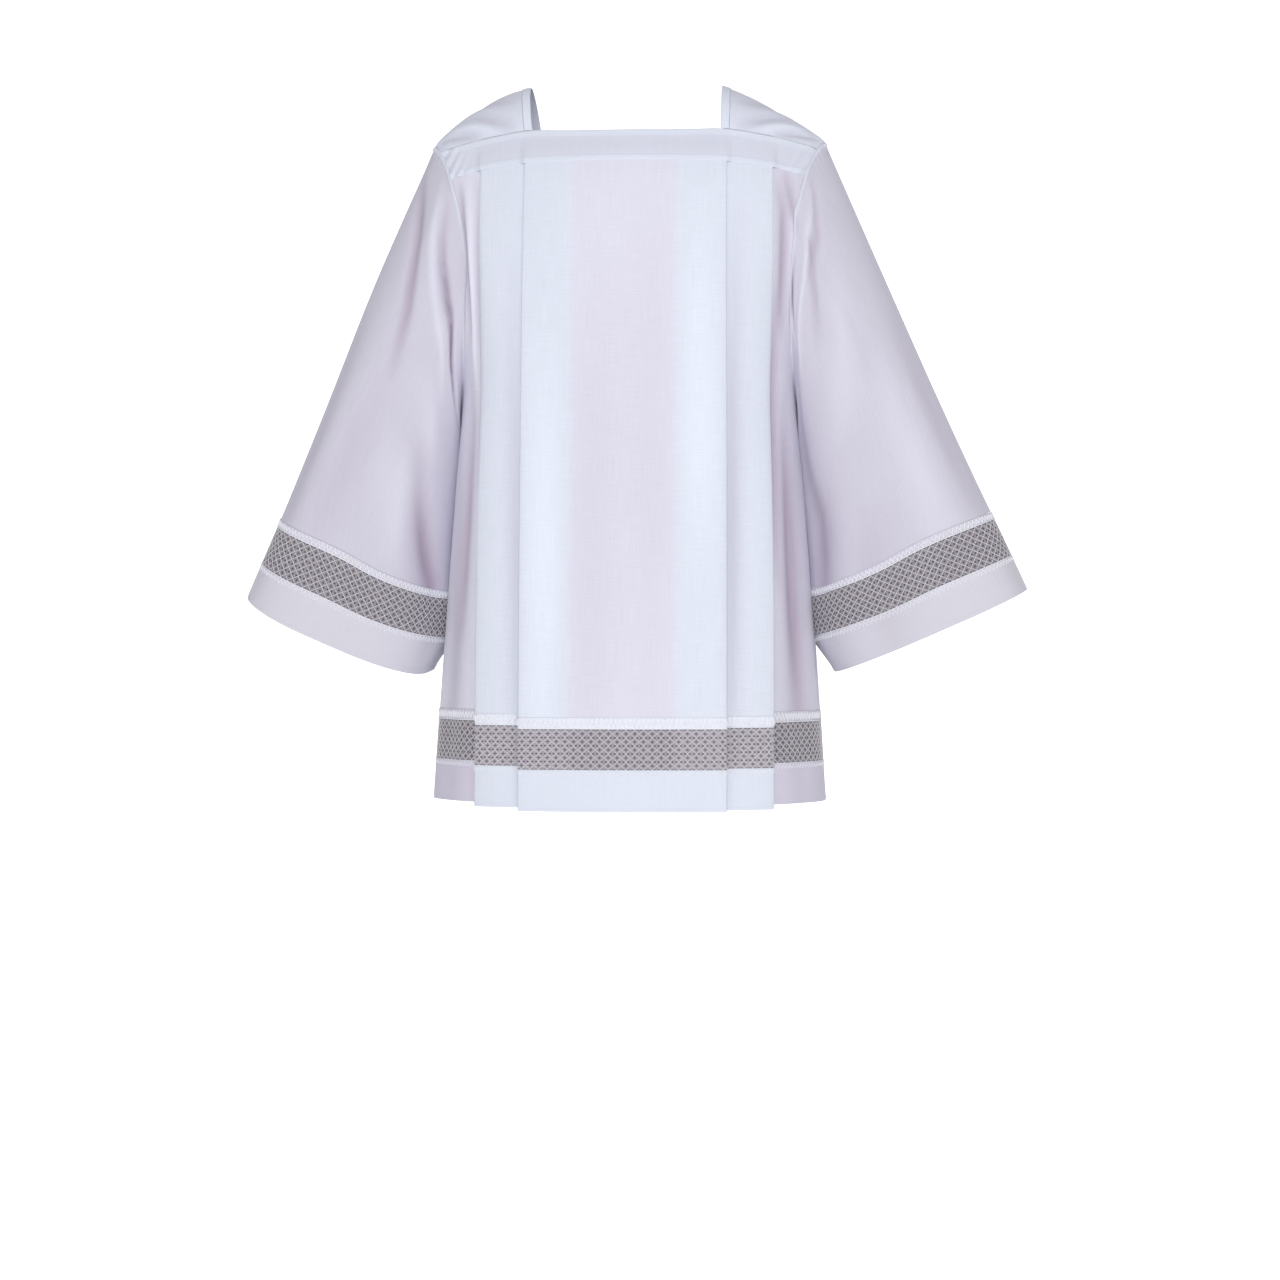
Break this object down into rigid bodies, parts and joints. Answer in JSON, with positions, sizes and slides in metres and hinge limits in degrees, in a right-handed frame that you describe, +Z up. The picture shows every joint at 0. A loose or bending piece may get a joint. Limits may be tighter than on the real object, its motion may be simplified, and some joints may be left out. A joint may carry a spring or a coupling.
{
  "type": "surplice",
  "caption": "Square-neck pleated white surplice, hollow as worn, with yoke bands, open bell sleeves, net insertion bands at hem and cuffs, and plain hem bands",
  "frame": {"origin": "middle of the shoulder line, at the height of the yoke beside the neck, halfway across the neck opening: where the garment rests on its wearer's shoulders", "axes": "+X is the wearer's left, +Y runs from the front to the back so the front faces -Y, +Z is up"},
  "size_m": [0.9641, 0.3152, 0.8959],
  "materials": {
    "plain_cloth": "cool white plain-weave cotton and polyester cloth, matt",
    "net": "fine knotted net, grey where it shows the shade behind it",
    "lace_tape": "narrow white lace beading tape, matt"
  },
  "bodies": {
    "root": {"front_yoke_band": "plain_cloth", "back_yoke_band": "plain_cloth", "front_panel": "plain_cloth", "back_panel": "plain_cloth", "front_lace_tape": "lace_tape", "back_lace_tape": "lace_tape", "front_net": "net", "back_net": "net", "front_hem": "plain_cloth", "back_hem": "plain_cloth", "left_neck_tape": "plain_cloth", "right_neck_tape": "plain_cloth", "left_shoulder": "plain_cloth", "right_shoulder": "plain_cloth", "left_sleeve": "plain_cloth", "right_sleeve": "plain_cloth", "left_cuff_lace_tape": "lace_tape", "right_cuff_lace_tape": "lace_tape", "left_cuff_net": "net", "right_cuff_net": "net", "left_cuff_hem": "plain_cloth", "right_cuff_hem": "plain_cloth"}
  },
  "joints": []
}
